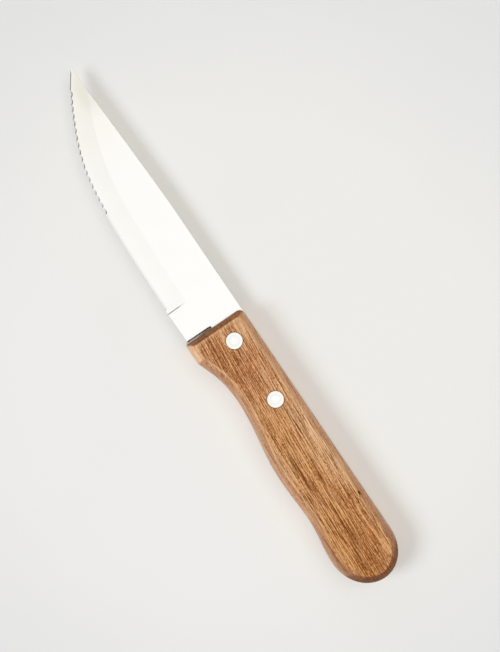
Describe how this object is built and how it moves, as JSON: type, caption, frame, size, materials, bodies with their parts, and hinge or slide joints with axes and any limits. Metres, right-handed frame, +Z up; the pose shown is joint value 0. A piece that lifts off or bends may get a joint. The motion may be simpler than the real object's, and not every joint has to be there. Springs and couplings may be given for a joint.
{
  "type": "steak knife",
  "caption": "Serrated steak knife with a hollow-ground blade, a half tang riveted into a shaped wooden handle, lying on its side.",
  "frame": {"origin": "on the handle's flat underside, midway between the two rivets", "axes": "+X along the knife to the tip, +Y across the blade to the cutting edge, +Z up through the knife lying on its side"},
  "size_m": [0.254, 0.0316, 0.015],
  "materials": {
    "blade_steel": "satin stainless steel with a hollow-ground band",
    "handle_wood": "oiled open-pored brown hardwood",
    "rivet_metal": "ground flush and polished"
  },
  "bodies": {
    "root": {"blade": "blade_steel", "handle": "handle_wood", "front_rivet_stud": "rivet_metal", "front_rivet_sleeve": "rivet_metal", "rear_rivet_stud": "rivet_metal", "rear_rivet_sleeve": "rivet_metal"}
  },
  "joints": []
}
